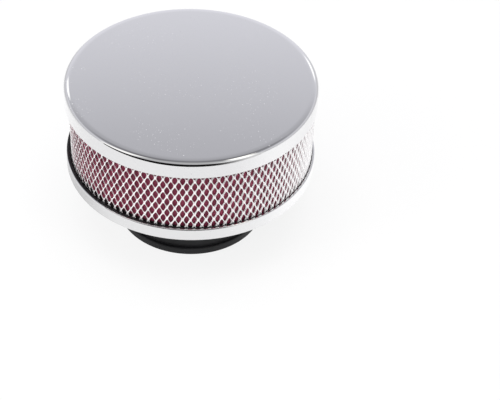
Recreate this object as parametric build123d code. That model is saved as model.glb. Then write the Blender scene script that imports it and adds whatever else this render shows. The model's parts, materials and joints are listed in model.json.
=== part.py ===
from build123d import *
import os
from math import asin, degrees, hypot, pi

# A small round clamp-on air filter for an engine, in millimetres. It stands on the end of its neck, z = 0.

# Moulded rubber base and neck
neck_bore_diameter = 38.0
neck_wall = 3.0
neck_length = 20.6
neck_root_radius = 1.6
bead_height = 2.6
bead_projection = 0.95
bead_rounding = 0.45
base_thickness = 4.5
bore_mouth_radius = 1.5
base_groove_depth = 2.0
base_rim_wall = 0.3
base_lip_height = 0.4
base_lip_inset = 0.1
base_lip_rounding = 0.15

# Chromed band pressed round the base, under its lip
band_sheet = 0.5
band_edge_rounding = 0.15

# Drawn and chromed cap
cap_clearance = 0.1
cap_sheet = 0.5
cap_corner_radius = 1.15
cap_skirt_depth = 5.6
cap_crown = 0.1
cap_edge_rounding = 0.15
overall_height = 50.0

# Black seal poured into the cap
seal_thickness = 4.0
seal_groove_depth = 1.0

# Filter pack of guard, element and screen, moulded in a little to one side
guard_outer_diameter = 74.2
guard_sheet = 0.75
guard_head_room = 0.3
element_thickness = 8.0
screen_sheet = 0.5
pack_gap = 0.15
pack_shift = 0.3

# Expanded-metal openings, staggered rows of upright diamonds
guard_columns = 40
guard_rows = 3
guard_strand = 0.9
guard_end_margin = 0.4
screen_columns = 24
screen_rows = 3
screen_strand = 1.2
screen_end_margin = 1.2

# Radii that follow
neck_bore_radius = neck_bore_diameter / 2
neck_radius = neck_bore_radius + neck_wall
bead_radius = neck_radius + bead_projection
guard_radius = guard_outer_diameter / 2
guard_reach = guard_radius + pack_shift
base_radius = guard_reach + base_rim_wall
band_radius = base_radius + band_sheet
lip_radius = band_radius - base_lip_inset
cap_radius = guard_reach + cap_clearance + cap_sheet
crown_span = cap_radius - cap_corner_radius
crown_radius = (crown_span ** 2 + cap_crown ** 2) / (2 * cap_crown)
crown_angle = degrees(asin(crown_span / crown_radius))
guard_inner_radius = guard_radius - guard_sheet
element_radius = guard_inner_radius - pack_gap
element_inner_radius = element_radius - element_thickness
screen_radius = element_inner_radius - pack_gap
screen_inner_radius = screen_radius - screen_sheet

# Heights that follow
base_top = neck_length + base_thickness
band_top = base_top - base_lip_height
pack_bottom = base_top - base_groove_depth
cap_rim_top = overall_height - cap_crown
cap_edge = cap_rim_top - cap_skirt_depth
seal_bottom = cap_rim_top - cap_sheet - seal_thickness
pack_top = seal_bottom + seal_groove_depth
guard_top = cap_rim_top - cap_corner_radius - guard_head_room
pack_place = Pos(pack_shift, 0, 0)


def ring(outer_radius, inner_radius, bottom, top):
    """A hollow cylinder between two heights."""
    wall = outer_radius - inner_radius
    section = Pos(inner_radius + wall / 2, (bottom + top) / 2) * Rectangle(wall, top - bottom)
    return revolve(Plane.XZ * section, Axis.Z)


def diamond_cutter(radius, depth, half_width, half_height):
    """A diamond prism that points outwards along X and passes through a wall at this radius."""
    outline = Polygon((half_width, 0), (0, half_height), (-half_width, 0), (0, -half_height))
    face = Plane(origin=(radius - depth / 2, 0, 0), x_dir=(0, 1, 0), z_dir=(1, 0, 0)) * outline
    return extrude(face, depth)


def expanded_tube(outer_radius, sheet, bottom, top, window_bottom, window_top, columns, rows, strand):
    """A rolled tube of expanded metal, with its diamonds between the two window heights."""
    tube = ring(outer_radius, outer_radius - sheet, bottom, top)
    half_pitch = pi * outer_radius / columns
    row_step = (window_top - window_bottom) / (rows + 1)
    inset = 1 - strand / 2 * hypot(half_pitch, row_step) / (half_pitch * row_step)
    cutter = diamond_cutter(outer_radius, 4 * sheet, inset * half_pitch, inset * row_step)
    cuts = []
    for row in range(rows):
        height = window_bottom + (row + 1) * row_step
        stagger = (row % 2) / 2
        for column in range(columns):
            turn = 360 * (column + stagger) / columns
            cuts.append(Rot(0, 0, turn) * Pos(0, 0, height) * cutter)
    return tube - cuts


def cap_form(inset):
    """The cap's outside form as a filled body, drawn in by an inset: a crowned top with a rounded corner."""
    radius = cap_radius - inset
    corner = cap_corner_radius - inset
    rim_top = cap_rim_top - inset
    crown_top = overall_height - inset
    outline = Polyline((0, crown_top), (0, cap_edge), (radius, cap_edge), (radius, rim_top - corner))
    rounded = CenterArc((radius - corner, rim_top - corner), corner, 0, 90)
    crown = CenterArc((0, crown_top - crown_radius), crown_radius, 90 - crown_angle, crown_angle)
    section = make_face(outline + rounded + crown)
    return revolve(Plane.XZ * section, Axis.Z)


def top_cap():
    """Drawn sheet cap, open below, with its lower edge rounded."""
    cap = cap_form(0) - cap_form(cap_sheet)
    edges = cap.edges().filter_by(GeomType.CIRCLE).group_by(Axis.Z)[0]
    return fillet(edges, cap_edge_rounding)


def top_seal():
    """Seal poured inside the guard, up to the cap's inside, with a groove for element and screen."""
    pour = pack_place * Pos(0, 0, seal_bottom) * Cylinder(
        guard_inner_radius, overall_height, align=(Align.CENTER, Align.CENTER, Align.MIN))
    groove = pack_place * ring(element_radius, screen_inner_radius, seal_bottom, pack_top)
    return (pour & cap_form(cap_sheet)) - groove


def outer_guard():
    """Expanded-metal cylinder that stands in the base's groove and reaches up into the cap."""
    guard = expanded_tube(guard_radius, guard_sheet, pack_bottom, guard_top, base_top + guard_end_margin,
                          cap_edge - guard_end_margin, guard_columns, guard_rows, guard_strand)
    return pack_place * guard


def filter_element():
    """Thick filter sleeve between guard and screen."""
    return pack_place * ring(element_radius, element_inner_radius, pack_bottom, pack_top)


def inner_screen():
    """Expanded-metal cylinder that holds the element open against the pull of the air."""
    screen = expanded_tube(screen_radius, screen_sheet, pack_bottom, pack_top, base_top + screen_end_margin,
                           seal_bottom - screen_end_margin, screen_columns, screen_rows, screen_strand)
    return pack_place * screen


def rubber_base():
    """Base disc with its lip, neck and end bead in one moulding, with the groove that grips the pack."""
    disc = ring(base_radius, neck_bore_radius, neck_length, base_top)
    lip = ring(lip_radius, neck_bore_radius, band_top, base_top)
    neck = ring(neck_radius, neck_bore_radius, 0, neck_length)
    bead = ring(bead_radius, neck_bore_radius, 0, bead_height)
    body = disc + lip + neck + bead
    circles = body.edges().filter_by(GeomType.CIRCLE)

    def circles_at(radius, height):
        return [edge for edge in circles
                if abs(edge.radius - radius) < 0.01 and abs(edge.center().Z - height) < 0.01]

    body = fillet(circles_at(bead_radius, 0) + circles_at(bead_radius, bead_height)
                  + circles_at(neck_bore_radius, 0), bead_rounding)
    circles = body.edges().filter_by(GeomType.CIRCLE)
    body = fillet(circles_at(neck_radius, neck_length), neck_root_radius)
    circles = body.edges().filter_by(GeomType.CIRCLE)
    body = fillet(circles_at(neck_bore_radius, base_top), bore_mouth_radius)
    circles = body.edges().filter_by(GeomType.CIRCLE)
    body = fillet(circles_at(lip_radius, base_top), base_lip_rounding)
    groove = pack_place * ring(guard_radius, screen_inner_radius, pack_bottom, base_top)
    return body - groove


def base_band():
    """Chromed strip closed into a ring, with its four edges rounded."""
    band = ring(band_radius, base_radius, neck_length, band_top)
    return fillet(band.edges().filter_by(GeomType.CIRCLE), band_edge_rounding)


sub_parts = {
    "top_cap": top_cap,
    "top_seal": top_seal,
    "outer_guard": outer_guard,
    "filter_element": filter_element,
    "inner_screen": inner_screen,
    "rubber_base": rubber_base,
    "base_band": base_band,
}

os.makedirs("parts", exist_ok=True)
for name, make in sub_parts.items():
    export_step(make(), f"parts/{name}.step")
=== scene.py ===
import json

import bmesh
import bpy
import numpy as np
from mathutils import Matrix, Vector


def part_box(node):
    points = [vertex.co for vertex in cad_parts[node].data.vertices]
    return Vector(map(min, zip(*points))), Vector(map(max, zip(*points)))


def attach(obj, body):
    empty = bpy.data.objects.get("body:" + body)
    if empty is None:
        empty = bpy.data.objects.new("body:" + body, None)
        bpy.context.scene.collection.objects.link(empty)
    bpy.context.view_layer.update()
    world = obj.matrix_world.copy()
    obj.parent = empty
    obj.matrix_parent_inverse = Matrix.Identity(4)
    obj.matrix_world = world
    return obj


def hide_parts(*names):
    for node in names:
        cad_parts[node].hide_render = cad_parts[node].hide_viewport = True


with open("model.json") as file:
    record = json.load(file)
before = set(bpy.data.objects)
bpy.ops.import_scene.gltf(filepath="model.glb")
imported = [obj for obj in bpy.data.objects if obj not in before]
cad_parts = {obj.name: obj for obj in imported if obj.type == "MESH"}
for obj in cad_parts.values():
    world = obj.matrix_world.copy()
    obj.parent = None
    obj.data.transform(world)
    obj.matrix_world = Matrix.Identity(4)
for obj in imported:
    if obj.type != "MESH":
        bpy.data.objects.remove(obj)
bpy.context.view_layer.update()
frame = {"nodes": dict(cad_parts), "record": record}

# Rubber base
# One black rubber moulding: a disc that grips the filter pack in a groove and laps over its band with a lip,
# and below it the neck with its end bead, which goes over the intake spigot.

mm = 0.001
turn_steps = 288
tiny_edge = 0.08 * mm
merge_distance = 0.0005 * mm


def rounded(corners, radii, steps=9, margin=0.04 * mm):
    """A closed outline of (radius, height) corners, each turned into an arc that touches both its sides.
    The arc's centre lies on the corner's bisector. A point just before the arc and one just after it keep
    the shading of the flats flat."""
    corners = np.array(corners, float)
    befores, afters = np.roll(corners, 1, 0), np.roll(corners, -1, 0)
    outline = []
    for corner, before, after, radius in zip(corners, befores, afters, radii):
        back = (before - corner) / np.linalg.norm(before - corner)
        on = (after - corner) / np.linalg.norm(after - corner)
        if radius == 0:
            outline.append(corner[None])
            continue
        half = np.arccos(np.clip(back @ on, -1, 1)) / 2
        reach = radius / np.tan(half)
        bisector = (back + on) / np.linalg.norm(back + on)
        centre = corner + bisector * radius / np.sin(half)
        start = corner + back * reach - centre
        end = corner + on * reach - centre
        sweep = np.pi - 2 * half
        side = np.sign(start[0] * end[1] - start[1] * end[0])
        angle = np.linspace(0, side * sweep, steps + 1)[:, None]
        arc = centre + start * np.cos(angle) + np.array((-start[1], start[0])) * np.sin(angle)
        flat_before = corner + back * (reach + margin)
        flat_after = corner + on * (reach + margin)
        outline += [flat_before[None], arc, flat_after[None]]
    return np.concatenate(outline)


def lathe(name, outline, steps=turn_steps, shift=(0.0, 0.0), lean=(0.0, 0.0)):
    """Carries a closed outline once round Z: x = r sin a + shift_x, y = -r cos a + shift_y,
    z = height + lean_x sin a - lean_y cos a. Shift and lean are for all points or for each.
    UV is in metres: the length round the outside, and the length along the outline."""
    radius, height = outline.T
    shift, lean = np.broadcast_to(shift, outline.shape), np.broadcast_to(lean, outline.shape)
    angle = np.arange(steps)[:, None] / steps * 2 * np.pi
    x = np.sin(angle) * radius + shift[:, 0]
    y = -np.cos(angle) * radius + shift[:, 1]
    z = height + np.sin(angle) * lean[:, 0] - np.cos(angle) * lean[:, 1]
    points = np.stack([x, y, z], -1).reshape(-1, 3)
    count = len(outline)
    a, s = np.meshgrid(np.arange(steps), np.arange(count), indexing="ij")
    a_next, s_next = (a + 1) % steps, (s + 1) % count
    faces = np.stack([a * count + s, a_next * count + s, a_next * count + s_next, a * count + s_next], -1)
    lengths = np.linalg.norm(np.diff(outline, axis=0, append=outline[:1]), axis=1)
    along = np.concatenate([[0], np.cumsum(lengths)])
    u = np.stack([a, a + 1, a + 1, a], -1) / steps * 2 * np.pi * radius.max()
    v = np.stack([along[s], along[s], along[s + 1], along[s + 1]], -1)
    return piece_from_arrays(name, points, faces.reshape(-1, 4), np.stack([u, v], -1).reshape(-1, 2))


def piece_from_arrays(name, points, faces, uv=None):
    """A smooth mesh object at the origin from whole arrays of points and faces, its doubles merged."""
    mesh = bpy.data.meshes.new(name)
    mesh.from_pydata(points.tolist(), [], faces.tolist())
    if uv is not None:
        layer = mesh.uv_layers.new(name="surface")
        layer.data.foreach_set("uv", uv.astype(np.float32).ravel())
    work = bmesh.new()
    work.from_mesh(mesh)
    bmesh.ops.remove_doubles(work, verts=work.verts, dist=merge_distance)
    work.to_mesh(mesh)
    work.free()
    mesh.polygons.foreach_set("use_smooth", np.ones(len(mesh.polygons), bool))
    piece = bpy.data.objects.new(name, mesh)
    bpy.context.scene.collection.objects.link(piece)
    return piece


class Wire:
    """An output socket of a shader node. Sums and products of wires and numbers become Math nodes."""

    def __init__(self, tree, socket):
        self.tree = tree
        self.socket = socket

    def node(self, kind, settings=(), inputs=(), output=0):
        """Adds a node of any type: its settings first, then the values or wires of its sockets."""
        made = self.tree.nodes.new(kind)
        for setting, value in dict(settings).items():
            if setting == "stops":
                elements = made.color_ramp.elements
                for index, (position, shade) in enumerate(value):
                    element = elements[index] if index < 2 else elements.new(position)
                    element.position = position
                    element.color = shade
            else:
                setattr(made, setting, value)
        for name, value in dict(inputs).items():
            if isinstance(value, Wire):
                self.tree.links.new(value.socket, made.inputs[name])
            else:
                made.inputs[name].default_value = value
        return Wire(self.tree, made.outputs[output])

    def math(self, operation, *values):
        return self.node("ShaderNodeMath", {"operation": operation}, enumerate(values))

    def __add__(self, other):
        return self.math("ADD", self, other)

    __radd__ = __add__

    def __sub__(self, other):
        return self.math("SUBTRACT", self, other)

    def __rsub__(self, other):
        return self.math("SUBTRACT", other, self)

    def __mul__(self, other):
        return self.math("MULTIPLY", self, other)

    __rmul__ = __mul__

    def __truediv__(self, other):
        return self.math("DIVIDE", self, other)

    def __pow__(self, other):
        return self.math("POWER", self, other)

    def sine(self):
        return self.math("SINE", self)

    def size(self):
        return self.math("ABSOLUTE", self)

    def step(self, low, high):
        """0 below low, 1 above high, a smooth ramp between."""
        return self.node("ShaderNodeMapRange", {"interpolation_type": "SMOOTHSTEP"},
                         {"Value": self, "From Min": low, "From Max": high})

    def part(self, name):
        """The X, Y or Z of a vector."""
        return self.node("ShaderNodeSeparateXYZ", (), {"Vector": self}, output=name)

    def noise(self, scale, detail=3.0, roughness=0.55):
        """Noise from 0 to 1 that varies over 1 / scale metres."""
        return self.node("ShaderNodeTexNoise", (), {
            "Vector": self, "Scale": scale, "Detail": detail, "Roughness": roughness}, output="Fac")

    def ramp(self, stops, tint=(1, 1, 1)):
        """A tinted brightness that runs straight from stop to stop, each a pair of value and brightness."""
        low, high = stops[0][0], stops[-1][0]
        shades = [((value - low) / (high - low), [light * part for part in tint] + [1])
                  for value, light in stops]
        share = (self - low) / (high - low)
        return self.node("ShaderNodeValToRGB", {"stops": shades}, {"Fac": share}, "Color")

    def blend(self, low, high):
        """A colour between two, or wires of colours, by this value."""
        return self.node("ShaderNodeMix", {"data_type": "RGBA"},
                         {"Factor": self, "A": low, "B": high}, "Result")

    def bump(self, strength, distance):
        """A normal from this height, which is in units of the distance."""
        return self.node("ShaderNodeBump", (),
                         {"Height": self, "Strength": strength, "Distance": distance}, "Normal")


def coat(name, **constants):
    """A material with a Principled shader whose fixed values are set on its own sockets.
    Returns it with its shader and the wires of the object's own coordinates and of its UV map."""
    material = bpy.data.materials.new(name)
    material.use_nodes = True
    tree = material.node_tree
    shader = tree.nodes["Principled BSDF"]
    for socket, value in constants.items():
        shader.inputs[socket.replace("_", " ")].default_value = value
    place = tree.nodes.new("ShaderNodeTexCoord")
    return material, shader, Wire(tree, place.outputs["Object"]), Wire(tree, place.outputs["UV"])


def feed(shader, socket, wire):
    """Links a wire into one of the shader's sockets."""
    wire.tree.links.new(wire.socket, shader.inputs[socket])


mounts = {mount["name"]: mount for mount in frame["record"]["mounts"]}
bore_radius = mounts["neck_bore"]["dims"]["r_mm"] * mm
lip_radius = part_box("rubber_base")[1].x
base_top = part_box("rubber_base")[1].z
band_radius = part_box("base_band")[1].x
band_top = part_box("base_band")[1].z
band_sheet = 0.5 * mm
base_radius = band_radius - band_sheet
base_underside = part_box("base_band")[0].z
pack_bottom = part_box("outer_guard")[0].z
pack_shift = (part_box("outer_guard")[0].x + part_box("outer_guard")[1].x) / 2
guard_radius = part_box("outer_guard")[1].x - pack_shift
screen_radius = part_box("inner_screen")[1].x - pack_shift
screen_sheet = 0.5 * mm
neck_radius = bore_radius + 3.0 * mm
bead_radius = neck_radius + 0.95 * mm
bead_height = 2.6 * mm
bead_rounding = 0.45 * mm
neck_root_radius = 1.6 * mm
bore_mouth_radius = 1.5 * mm

# The lip is set off centre and leans, so that it stands proud at the left and back.
lip_shift = 0.3 * mm
seat_shift = 0.1 * mm
lip_way = np.array((-0.8, 0.6))

base_corners = [
    (bore_radius, 0), (bead_radius, 0), (bead_radius, bead_height), (neck_radius, bead_height),
    (neck_radius, base_underside), (base_radius, base_underside), (base_radius, band_top),
    (lip_radius, band_top), (lip_radius, base_top), (guard_radius, base_top), (guard_radius, pack_bottom),
    (screen_radius - screen_sheet, pack_bottom), (screen_radius - screen_sheet, base_top),
    (bore_radius, base_top),
]
base_radii = [
    bead_rounding, bead_rounding, bead_rounding, 2 * tiny_edge, neck_root_radius, tiny_edge, 0, tiny_edge,
    tiny_edge, 0, tiny_edge, tiny_edge, tiny_edge, bore_mouth_radius,
]
base_outline = rounded(base_corners, base_radii)
point_radius, point_height = base_outline.T.copy()
in_groove = ((point_height > pack_bottom - tiny_edge) & (point_radius < guard_radius + 2 * tiny_edge)
             & (point_radius > bore_radius + 2 * bore_mouth_radius))
on_seat = (np.abs(point_radius - base_radius) < 2 * tiny_edge) & (point_height < band_top + tiny_edge / 2)
on_lip = (point_height > band_top - tiny_edge / 2) & (point_radius > guard_radius + tiny_edge) & ~on_seat
on_ledge = (point_height > band_top) & (point_radius > guard_radius - tiny_edge)
base_shift = np.zeros(base_outline.shape)
base_shift[in_groove] = (pack_shift, 0)
base_shift[on_seat] = seat_shift * lip_way
base_shift[on_lip] = lip_shift * lip_way
base_outline[on_seat, 0] -= seat_shift
base_outline[on_lip, 0] -= lip_shift
base_outline[on_ledge, 1] = (base_outline[on_ledge, 1] + band_top) / 2
base_lean = np.where(on_ledge, base_outline[:, 1] - band_top, 0.0)[:, None] * lip_way
rubber_base = lathe("moulded_base", base_outline, shift=base_shift, lean=base_lean)

rubber, shader, place = coat("moulded_rubber", Specular_IOR_Level=0.38)[:3]
cloudy = place.noise(90.0)
grain = place.noise(2600.0, 2.0)
feed(shader, "Base Color", cloudy.step(0.3, 0.75).blend((0.007, 0.007, 0.008, 1), (0.016, 0.016, 0.018, 1)))
feed(shader, "Roughness", 0.38 + 0.2 * cloudy + 0.08 * grain)
feed(shader, "Normal", grain.bump(0.35, 0.06 * mm))
rubber_base.data.materials.append(rubber)
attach(rubber_base, "root")
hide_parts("rubber_base")

# Base band
# A narrow chromed steel strip closed into a ring and pressed round the base disc, under the rubber's lip.

band_rounding = 0.3 * mm

band_outline = rounded(
    [(base_radius, base_underside), (band_radius, base_underside),
     (band_radius, band_top), (base_radius, band_top)],
    [tiny_edge, band_rounding, band_rounding, tiny_edge])
on_seat = band_outline[:, 0] < base_radius + tiny_edge
band_outline[on_seat, 0] -= seat_shift
band = lathe("pressed_band", band_outline, shift=on_seat[:, None] * seat_shift * lip_way)

chrome, shader, place = coat("chrome_plate")[:3]
haze = place.noise(60.0)
specks = place.noise(1900.0, 1.0).step(0.69, 0.75) * place.noise(45.0).step(0.42, 0.58)
feed(shader, "Metallic", 1.0 - 0.3 * specks)
feed(shader, "Roughness", 0.02 + 0.03 * haze + 0.3 * specks)
feed(shader, "Base Color", specks.blend((0.86, 0.86, 0.865, 1), (0.95, 0.95, 0.95, 1)))
band.data.materials.append(chrome)
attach(band, "root")
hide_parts("base_band")

# Outer guard
# A strip of fine expanded steel sheet, bright plated and rolled into a cylinder. The sheet is slit and
# pulled open, which leaves upright diamonds between thin strands that meet in longer bonds.

guard_columns = 102
guard_half_row = 2.1 * mm
guard_rows = 12
guard_middle_row = 35.82 * mm
guard_turn = np.radians(1.34)
guard_sheet = 0.3 * mm
guard_twist = 0.2 * mm
guard_hole = np.array((0.76, 1.57)) * mm


def expanded_metal(name, radius, sheet, twist, columns, half_row, rows, middle_row, ends, hole, turn, shift,
                   sides=16):
    """A rolled sheet of diamond cells. A cell's edge is the middle of its strands: |x / a| + |y / b| = 1.
    The hole is a pointed oval: x = hole_x |cos t|^1.7, y = hole_y |sin t|^1.15, with the signs of cos and
    sin. Rings run from the cell's edge over the front to the hole and back. The strands are twisted as the
    slitting leaves them: the metal left of a hole stands out by the twist, and that right of it is set
    back."""
    side_power, tip_power = 1.7, 1.15
    a = np.pi * radius / columns
    t = np.arange(sides) / sides * 2 * np.pi
    cos, sin = np.cos(t).round(9), np.sin(t).round(9)
    edge = np.stack([a * np.sign(cos) * cos ** 2, half_row * np.sign(sin) * sin ** 2], -1)
    oval = np.stack([hole[0] * np.sign(cos) * np.abs(cos) ** side_power,
                     hole[1] * np.sign(sin) * np.abs(sin) ** tip_power], -1)
    inward = np.array([0, 0.8, 0.97, 1.0, 0.93, 0])[:, None, None]
    lift = np.array([0.5, 0.5, 0.4, 0.0, -0.42, -0.5])[:, None] * sheet - twist * inward[..., 0] * cos
    cell = edge + (oval - edge) * inward
    row, column = np.meshgrid(np.arange(rows), np.arange(columns), indexing="ij")
    centre_z = middle_row + (row - rows // 2) * half_row
    centre_a = turn + (column + 0.5 * ((row - rows // 2) % 2)) * 2 * np.pi / columns
    angle = centre_a[..., None, None] + cell[..., 0] / radius
    reach = radius - sheet / 2 - twist + np.broadcast_to(lift, angle.shape)
    below = np.minimum(cell[..., 1], 0) * np.minimum(1, (centre_z - ends[0]) / half_row)[..., None, None]
    above = np.maximum(cell[..., 1], 0) * np.minimum(1, (ends[1] - centre_z) / half_row)[..., None, None]
    z = centre_z[..., None, None] + below + above
    points = np.stack([reach * np.sin(angle) + shift, -reach * np.cos(angle), z], -1).reshape(-1, 3)
    rings = len(lift)
    start = (np.arange(rows * columns) * rings * sides)[:, None, None]
    ring, side = np.meshgrid(np.arange(rings - 1), np.arange(sides), indexing="ij")
    side_next = (side + 1) % sides
    faces = np.stack([ring * sides + side, ring * sides + side_next,
                      (ring + 1) * sides + side_next, (ring + 1) * sides + side], -1)
    faces = (start[..., None] + faces).reshape(-1, 4)
    piece = piece_from_arrays(name, points, faces)
    work = bmesh.new()
    work.from_mesh(piece.data)
    rim = [edge for edge in work.edges if edge.is_boundary]
    for top in (True, False):
        loop = [edge for edge in rim if (edge.verts[0].co.z > middle_row) == top]
        bmesh.ops.bridge_loops(work, edges=loop)
    bmesh.ops.recalc_face_normals(work, faces=work.faces)
    work.to_mesh(piece.data)
    work.free()
    piece.data.polygons.foreach_set("use_smooth", np.ones(len(piece.data.polygons), bool))
    return piece


guard_ends = (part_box("outer_guard")[0].z + tiny_edge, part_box("outer_guard")[1].z)
guard = expanded_metal("guard_net", guard_radius, guard_sheet, guard_twist, guard_columns, guard_half_row,
                       guard_rows, guard_middle_row, guard_ends, guard_hole, guard_turn, pack_shift)

plating, shader, place = coat("bright_plating", Metallic=0.3)[:3]
patch = place.noise(700.0)
feed(shader, "Roughness", 0.2 + 0.2 * patch)
feed(shader, "Base Color", patch.step(0.3, 0.7).blend((0.93, 0.92, 0.92, 1), (1.0, 0.99, 0.99, 1)))
feed(shader, "Normal", place.noise(5200.0, 2.0).bump(0.3, 0.03 * mm))
guard.data.materials.append(plating)
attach(guard, "root")
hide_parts("outer_guard")

# Inner screen
# The same expanded sheet in a smaller roll, which holds the filter sleeve open against the pull of the air.

screen_columns = 70
screen_rows = 11
screen_ends = (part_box("inner_screen")[0].z + tiny_edge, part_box("inner_screen")[1].z - tiny_edge)
screen_hole = np.array((0.8, 1.6)) * mm
screen_middle_row = (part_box("inner_screen")[0].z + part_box("inner_screen")[1].z) / 2
screen_strand = 0.6 * screen_sheet
screen_twist = 0.2 * screen_sheet
screen_turn = 0.0

screen = expanded_metal("screen_net", screen_radius, screen_strand, screen_twist, screen_columns,
                        guard_half_row, screen_rows, screen_middle_row, screen_ends, screen_hole,
                        screen_turn, pack_shift, sides=8)
screen.data.materials.append(plating)
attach(screen, "root")
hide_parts("inner_screen")

# Filter element
# Layers of loosely woven cotton cloth in a thick sleeve, dyed red and wetted with filter oil. Its ends are
# set in black rubber and resin, and the rubber has soaked a little way into its foot, most at the left. A
# band just below the cap's edge is darkened with painted shade, which stands for the shadow of the cap's
# skirt.

element_low, element_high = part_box("filter_element")
element_radius = element_high.x - pack_shift
element_rounding = 0.4 * mm
thread_pitch = 0.42 * mm
cap_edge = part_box("top_cap")[0].z
element_bore_radius = screen_radius + 0.15 * mm
# How far up and down the soaked foot and the painted shade under the cap wander.
soak_and_shade_unevenness = 1.2 * mm
soak_tilt = 0.04

element_outline = rounded(
    [(element_bore_radius, element_low.z), (element_radius, element_low.z),
     (element_radius, element_high.z), (element_bore_radius, element_high.z)], [element_rounding] * 4)
element = lathe("cloth_sleeve", element_outline, shift=(pack_shift, 0.0))

cloth, shader, place, uv = coat("oiled_red_cloth", Sheen_Weight=0.1, Sheen_Roughness=0.5)
shader.inputs["Sheen Tint"].default_value = (1.0, 0.75, 0.78, 1)
across = (uv.part("X") * (np.pi / thread_pitch)).sine().size()
up = (uv.part("Y") * (np.pi / thread_pitch)).sine().size()
weave = (across + up) * 0.5
damp = place.noise(260.0)
height = place.part("Z") + soak_and_shade_unevenness * damp
soaked = height + soak_tilt * place.part("X")
# Nearly black at the foot, where the rubber has soaked in, and painted shade in a band just below the cap's
# edge, under its skirt.
unsoaked_and_unshaded = soaked.step(base_top - 0.4 * mm, base_top + 0.3 * mm) * (
    1.0 - height.step(cap_edge - 0.4 * mm, cap_edge + 0.5 * mm))
dyed = (0.5 * weave + 0.7 * damp).step(0.25, 0.95).blend((0.09, 0.003, 0.018, 1), (0.33, 0.028, 0.085, 1))
feed(shader, "Base Color", unsoaked_and_unshaded.blend((0.012, 0.01, 0.012, 1), dyed))
feed(shader, "Roughness", 0.45 + 0.3 * damp)
feed(shader, "Normal", (weave + 0.4 * damp).bump(0.8, 0.12 * mm))
element.data.materials.append(cloth)
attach(element, "root")
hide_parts("filter_element")

# Top seal
# Black two-part resin poured into the upturned cap, which binds the ends of guard, sleeve and screen to it.

resin, shader, place = coat("poured_resin")[:3]
flow = place.noise(120.0)
feed(shader, "Roughness", 0.22 + 0.25 * flow)
feed(shader, "Base Color", flow.blend((0.014, 0.014, 0.015, 1), (0.03, 0.03, 0.03, 1)))
feed(shader, "Normal", flow.bump(0.25, 0.3 * mm))
seal = frame["nodes"]["top_seal"]
seal.data.materials.clear()
seal.data.materials.append(resin)

# Top cap
# One drawn disc of steel sheet, chromed and polished. It has a barely crowned top, a rolled corner and a
# short skirt that hides the upper ends of guard and sleeve.

cap_low, cap_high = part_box("top_cap")
cap_radius = cap_high.x
cap_sheet = 0.5 * mm
cap_crown = 0.1 * mm
cap_corner = 1.15 * mm
cap_edge_rounding = 0.15 * mm
crown_steps = 40
crown_crowding = 2.5
roll_width = 1.1 * mm
roll_drop = 0.05 * mm


def crowned(rim_radius, rim_height, steps):
    """Points from a rim to the axis, closest at the rim, on a shallow crown:
    height = rim + crown (1 - (r / rim_radius)^2). It rolls off towards the rim,
    by roll_drop (1 - distance from the rim / roll_width)^2."""
    radius = rim_radius * (1 - np.linspace(0, 1, steps + 1) ** crown_crowding)
    roll = roll_drop * np.clip(1 - (rim_radius - radius) / roll_width, 0, 1) ** 2
    return np.stack([radius, rim_height + cap_crown * (1 - (radius / rim_radius) ** 2) - roll], -1)


rim_top = cap_high.z - cap_crown
fold_top = rim_top - roll_drop
skirt = rounded(
    [(cap_radius, cap_low.z), (cap_radius, fold_top), (0, fold_top), (0, fold_top - cap_sheet),
     (cap_radius - cap_sheet, fold_top - cap_sheet), (cap_radius - cap_sheet, cap_low.z)],
    [cap_edge_rounding, cap_corner, 0, 0, cap_corner - cap_sheet, cap_edge_rounding])
on_axis = np.flatnonzero(skirt[:, 0] == 0)
outside, inside = skirt[:on_axis[0]], skirt[on_axis[1] + 1:]
cap_outline = np.concatenate([
    outside[:-1], crowned(cap_radius - cap_corner, rim_top, crown_steps)[1:],
    crowned(cap_radius - cap_corner, rim_top - cap_sheet, crown_steps)[-1:0:-1], inside[1:]])
cap = lathe("drawn_cap", cap_outline, steps=2 * turn_steps)
cap.data.materials.append(chrome)
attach(cap, "root")
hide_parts("top_cap")

# Floor
# A plain pale table top that the filter stands on. The camera sees it nearly white with the filter's shadow.
# For glossy rays it glows with painted light that the chrome mirrors: a little darker at the left front,
# with a painted shadow close by at the left and painted light close by at the right.

floor_size = 3.0
floor_mesh = bpy.data.meshes.new("floor")
half = floor_size / 2
floor_corners = [(-half, -half, 0), (half, -half, 0), (half, half, 0), (-half, half, 0)]
floor_mesh.from_pydata(floor_corners, [], [(0, 1, 2, 3)])
floor = bpy.data.objects.new("floor", floor_mesh)
bpy.context.scene.collection.objects.link(floor)

table = bpy.data.materials.new("pale_table")
table.use_nodes = True
tree = table.node_tree
tree.nodes.clear()
direct = Wire(tree, tree.nodes.new("ShaderNodeLightPath").outputs["Is Camera Ray"])
mirrored = Wire(tree, direct.socket.node.outputs["Is Glossy Ray"])
lit = direct.node("ShaderNodeBsdfDiffuse", (), {"Color": (0.86, 0.86, 0.86, 1)})
spot = Wire(tree, tree.nodes.new("ShaderNodeTexCoord").outputs["Object"])
right_way, back_way = spot.part("X"), spot.part("Y")
# Painted light and shade that only the chrome sees: darker towards the front and left, a painted shadow
# close by at the left of the filter and painted light close by at its right.
slope = (back_way + 0.6 * right_way).step(-0.07, 0.02)
close = 1.0 - (right_way ** 2.0 + back_way ** 2.0).step(0.05 ** 2, 0.075 ** 2)
near = back_way.step(-0.045, -0.005) * close
painted_mirror_light = 0.77 + 0.26 * slope + near * (6.5 * right_way - 0.08)
glow = direct.node("ShaderNodeEmission", (), {"Color": direct.blend(painted_mirror_light, (1, 1, 1, 1))})
mixed = direct.node("ShaderNodeMixShader", (), {0: 0.85 * direct + 0.6 * mirrored, 1: lit, 2: glow})
output = tree.nodes.new("ShaderNodeOutputMaterial")
tree.links.new(mixed.socket, output.inputs["Surface"])
floor_mesh.materials.append(table)

# Studio
# A white surround that falls off upwards behind the filter, a soft box overhead and one at each side, bright
# panels that glint on the cap's corner, and a dark board in front, which draws the black line along it.

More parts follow.
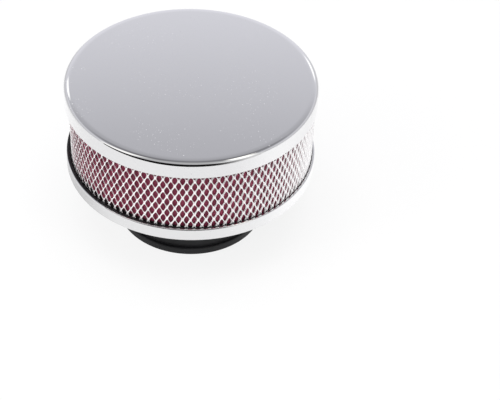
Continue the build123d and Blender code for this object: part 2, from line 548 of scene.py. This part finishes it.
world = bpy.data.worlds.new("studio")
bpy.context.scene.world = world
world.use_nodes = True
tree = world.node_tree
tree.nodes.clear()
way = Wire(tree, tree.nodes.new("ShaderNodeTexCoord").outputs["Generated"])
height = way.part("Z").math("ARCSINE", way.part("Z")) * (180 / np.pi)
bearing = way.part("X").math("ARCTAN2", way.part("X"), way.part("Y")) * (180 / np.pi)
towards = bearing.size().step(100.0, 150.0)
aside = bearing.size().step(10.0, 28.0) * (1.0 - height.step(28.0, 34.0))
behind = height.ramp([(-90, 0.93), (0, 0.9), (18, 0.86), (31, 0.8), (34, 0.745), (36, 0.675), (38, 0.6),
                      (40, 0.525), (42, 0.47), (48, 0.42), (54, 0.3), (70, 0.19), (90, 0.27)],
                     (0.99, 0.99, 1.06))
ahead = height.ramp([(-90, 0.04), (2, 0.19), (17, 0.365), (33, 0.517), (48, 0.517), (63, 0.474), (78, 0.39),
                     (90, 0.29)], (1.0, 1.0, 1.02))
wall = (0.85 * aside).blend(behind, (0.6, 0.6, 0.62, 1))


def panel(middle, reach):
    """1 inside an oval of the surround, with a soft edge. Middle and reach are bearing and elevation."""
    across = (bearing - middle[0]) * (1 / reach[0])
    up = (height - middle[1]) * (1 / reach[1])
    return 1.0 - (across * across + up * up).step(0.3, 1.8)


# Bearing and elevation, reach and colour of each panel: at the left, at the right, one for the glint on
# either end of the corner, and two for the bright streak at its right front.
panels = [
    ((-116.0, 32.0), (15.0, 34.0), (1.15, 1.14, 1.12, 1)),
    ((143.0, 14.0), (21.0, 25.0), (1.1, 1.1, 1.1, 1)),
    ((-13.0, 37.2), (2.5, 1.5), (1.3, 1.3, 1.3, 1)),
    ((12.5, 33.4), (2.5, 1.8), (1.3, 1.3, 1.3, 1)),
    ((105.0, 67.0), (20.0, 6.5), (1.6, 1.58, 1.5, 1)),
    ((127.0, 50.0), (11.0, 15.0), (1.6, 1.58, 1.5, 1)),
]
room = towards.blend(wall, ahead)
for middle, reach, shade in panels:
    room = panel(middle, reach).blend(room, shade)
direct = Wire(tree, tree.nodes.new("ShaderNodeLightPath").outputs["Is Camera Ray"])
sky = direct.node("ShaderNodeBackground", (), {"Color": direct.blend(room, (1, 1, 1, 1))})
output = tree.nodes.new("ShaderNodeOutputWorld")
tree.links.new(sky.socket, output.inputs["Surface"])


lamp_aim = Vector((0, 0, 0.04))
lamp_distance = 0.8


def soft_box(name, bearing, elevation, size, power):
    """A rectangular lamp that faces the filter and isn't mirrored in it. The bearing runs from away from the
    camera, +Y, to the right, +X: x = cos(elevation) sin(bearing), y = cos(elevation) cos(bearing)."""
    bearing, elevation = np.radians((bearing, elevation))
    outward = Vector((np.cos(elevation) * np.sin(bearing), np.cos(elevation) * np.cos(bearing),
                      np.sin(elevation)))
    lamp = bpy.data.lights.new(name, "AREA")
    lamp.shape = "RECTANGLE"
    lamp.size, lamp.size_y = size
    lamp.energy = power
    holder = bpy.data.objects.new(name, lamp)
    holder.location = lamp_aim + lamp_distance * outward
    holder.rotation_euler = (-outward).to_track_quat("-Z", "Y").to_euler()
    holder.visible_glossy = False
    bpy.context.scene.collection.objects.link(holder)


soft_box("overhead_box", 180, 85, (0.7, 0.7), 5.0)
soft_box("left_box", -117, 30, (0.34, 0.6), 2.0)
soft_box("right_box", 142, 20, (0.4, 0.4), 0.4)

board_left, board_right, board_y = -0.25, 0.12, -0.095
board_foot, board_height = 0.5 * mm, 80 * mm
board_mesh = bpy.data.meshes.new("dark_board")
board_mesh.from_pydata([(board_left, board_y, board_foot), (board_right, board_y, board_foot),
                        (board_right, board_y, board_height), (board_left, board_y, board_height)],
                       [], [(0, 1, 2, 3)])
board = bpy.data.objects.new("dark_board", board_mesh)
bpy.context.scene.collection.objects.link(board)
board.visible_camera = False
board.visible_diffuse = False
board.visible_shadow = False
# The board glows, a painted reflection that only the chrome sees: nearly black low down, dim grey at its
# top, and light grey towards its right end.
dark, shader, place = coat("dark_room", Base_Color=(0, 0, 0, 1), Roughness=1.0,
                           Specular_IOR_Level=0.0, Emission_Strength=1.0)[:3]
painted_glow = place.part("Z").ramp([(0, 0.002), (0.05, 0.004), (0.07, 0.04), (board_height, 0.25)])
feed(shader, "Emission Color", place.part("X").step(0.02, 0.09).blend(painted_glow, (0.7, 0.7, 0.7, 1)))
board_mesh.materials.append(dark)

# Camera
# It looks down on the filter from the front, where the cap's top fills most of the picture.

camera_place = Vector((0.0, -0.3440, 0.3122))
camera_yaw, camera_pitch, camera_roll = 0.0557, -0.7329, 0.0472
lens_pixels, picture_width, sensor_width = 1450.0, 500.0, 36.0

forward = Vector((np.sin(camera_yaw) * np.cos(camera_pitch), np.cos(camera_yaw) * np.cos(camera_pitch),
                  np.sin(camera_pitch)))
level = forward.cross(Vector((0, 0, 1))).normalized()
upward = level.cross(forward)
right = np.cos(camera_roll) * level + np.sin(camera_roll) * upward
top = np.cos(camera_roll) * upward - np.sin(camera_roll) * level
camera_data = bpy.data.cameras.new("camera")
camera_data.sensor_width = sensor_width
camera_data.lens = lens_pixels / picture_width * sensor_width
camera_data.shift_x = -0.5 / picture_width
camera_data.shift_y = 0.5 / picture_width
camera = bpy.data.objects.new("camera", camera_data)
turned = Matrix((right, top, -forward)).transposed().to_4x4()
camera.matrix_world = Matrix.Translation(camera_place) @ turned
bpy.context.scene.collection.objects.link(camera)
bpy.context.scene.camera = camera
bpy.context.scene.view_settings.view_transform = "Standard"

bpy.context.view_layer.update()
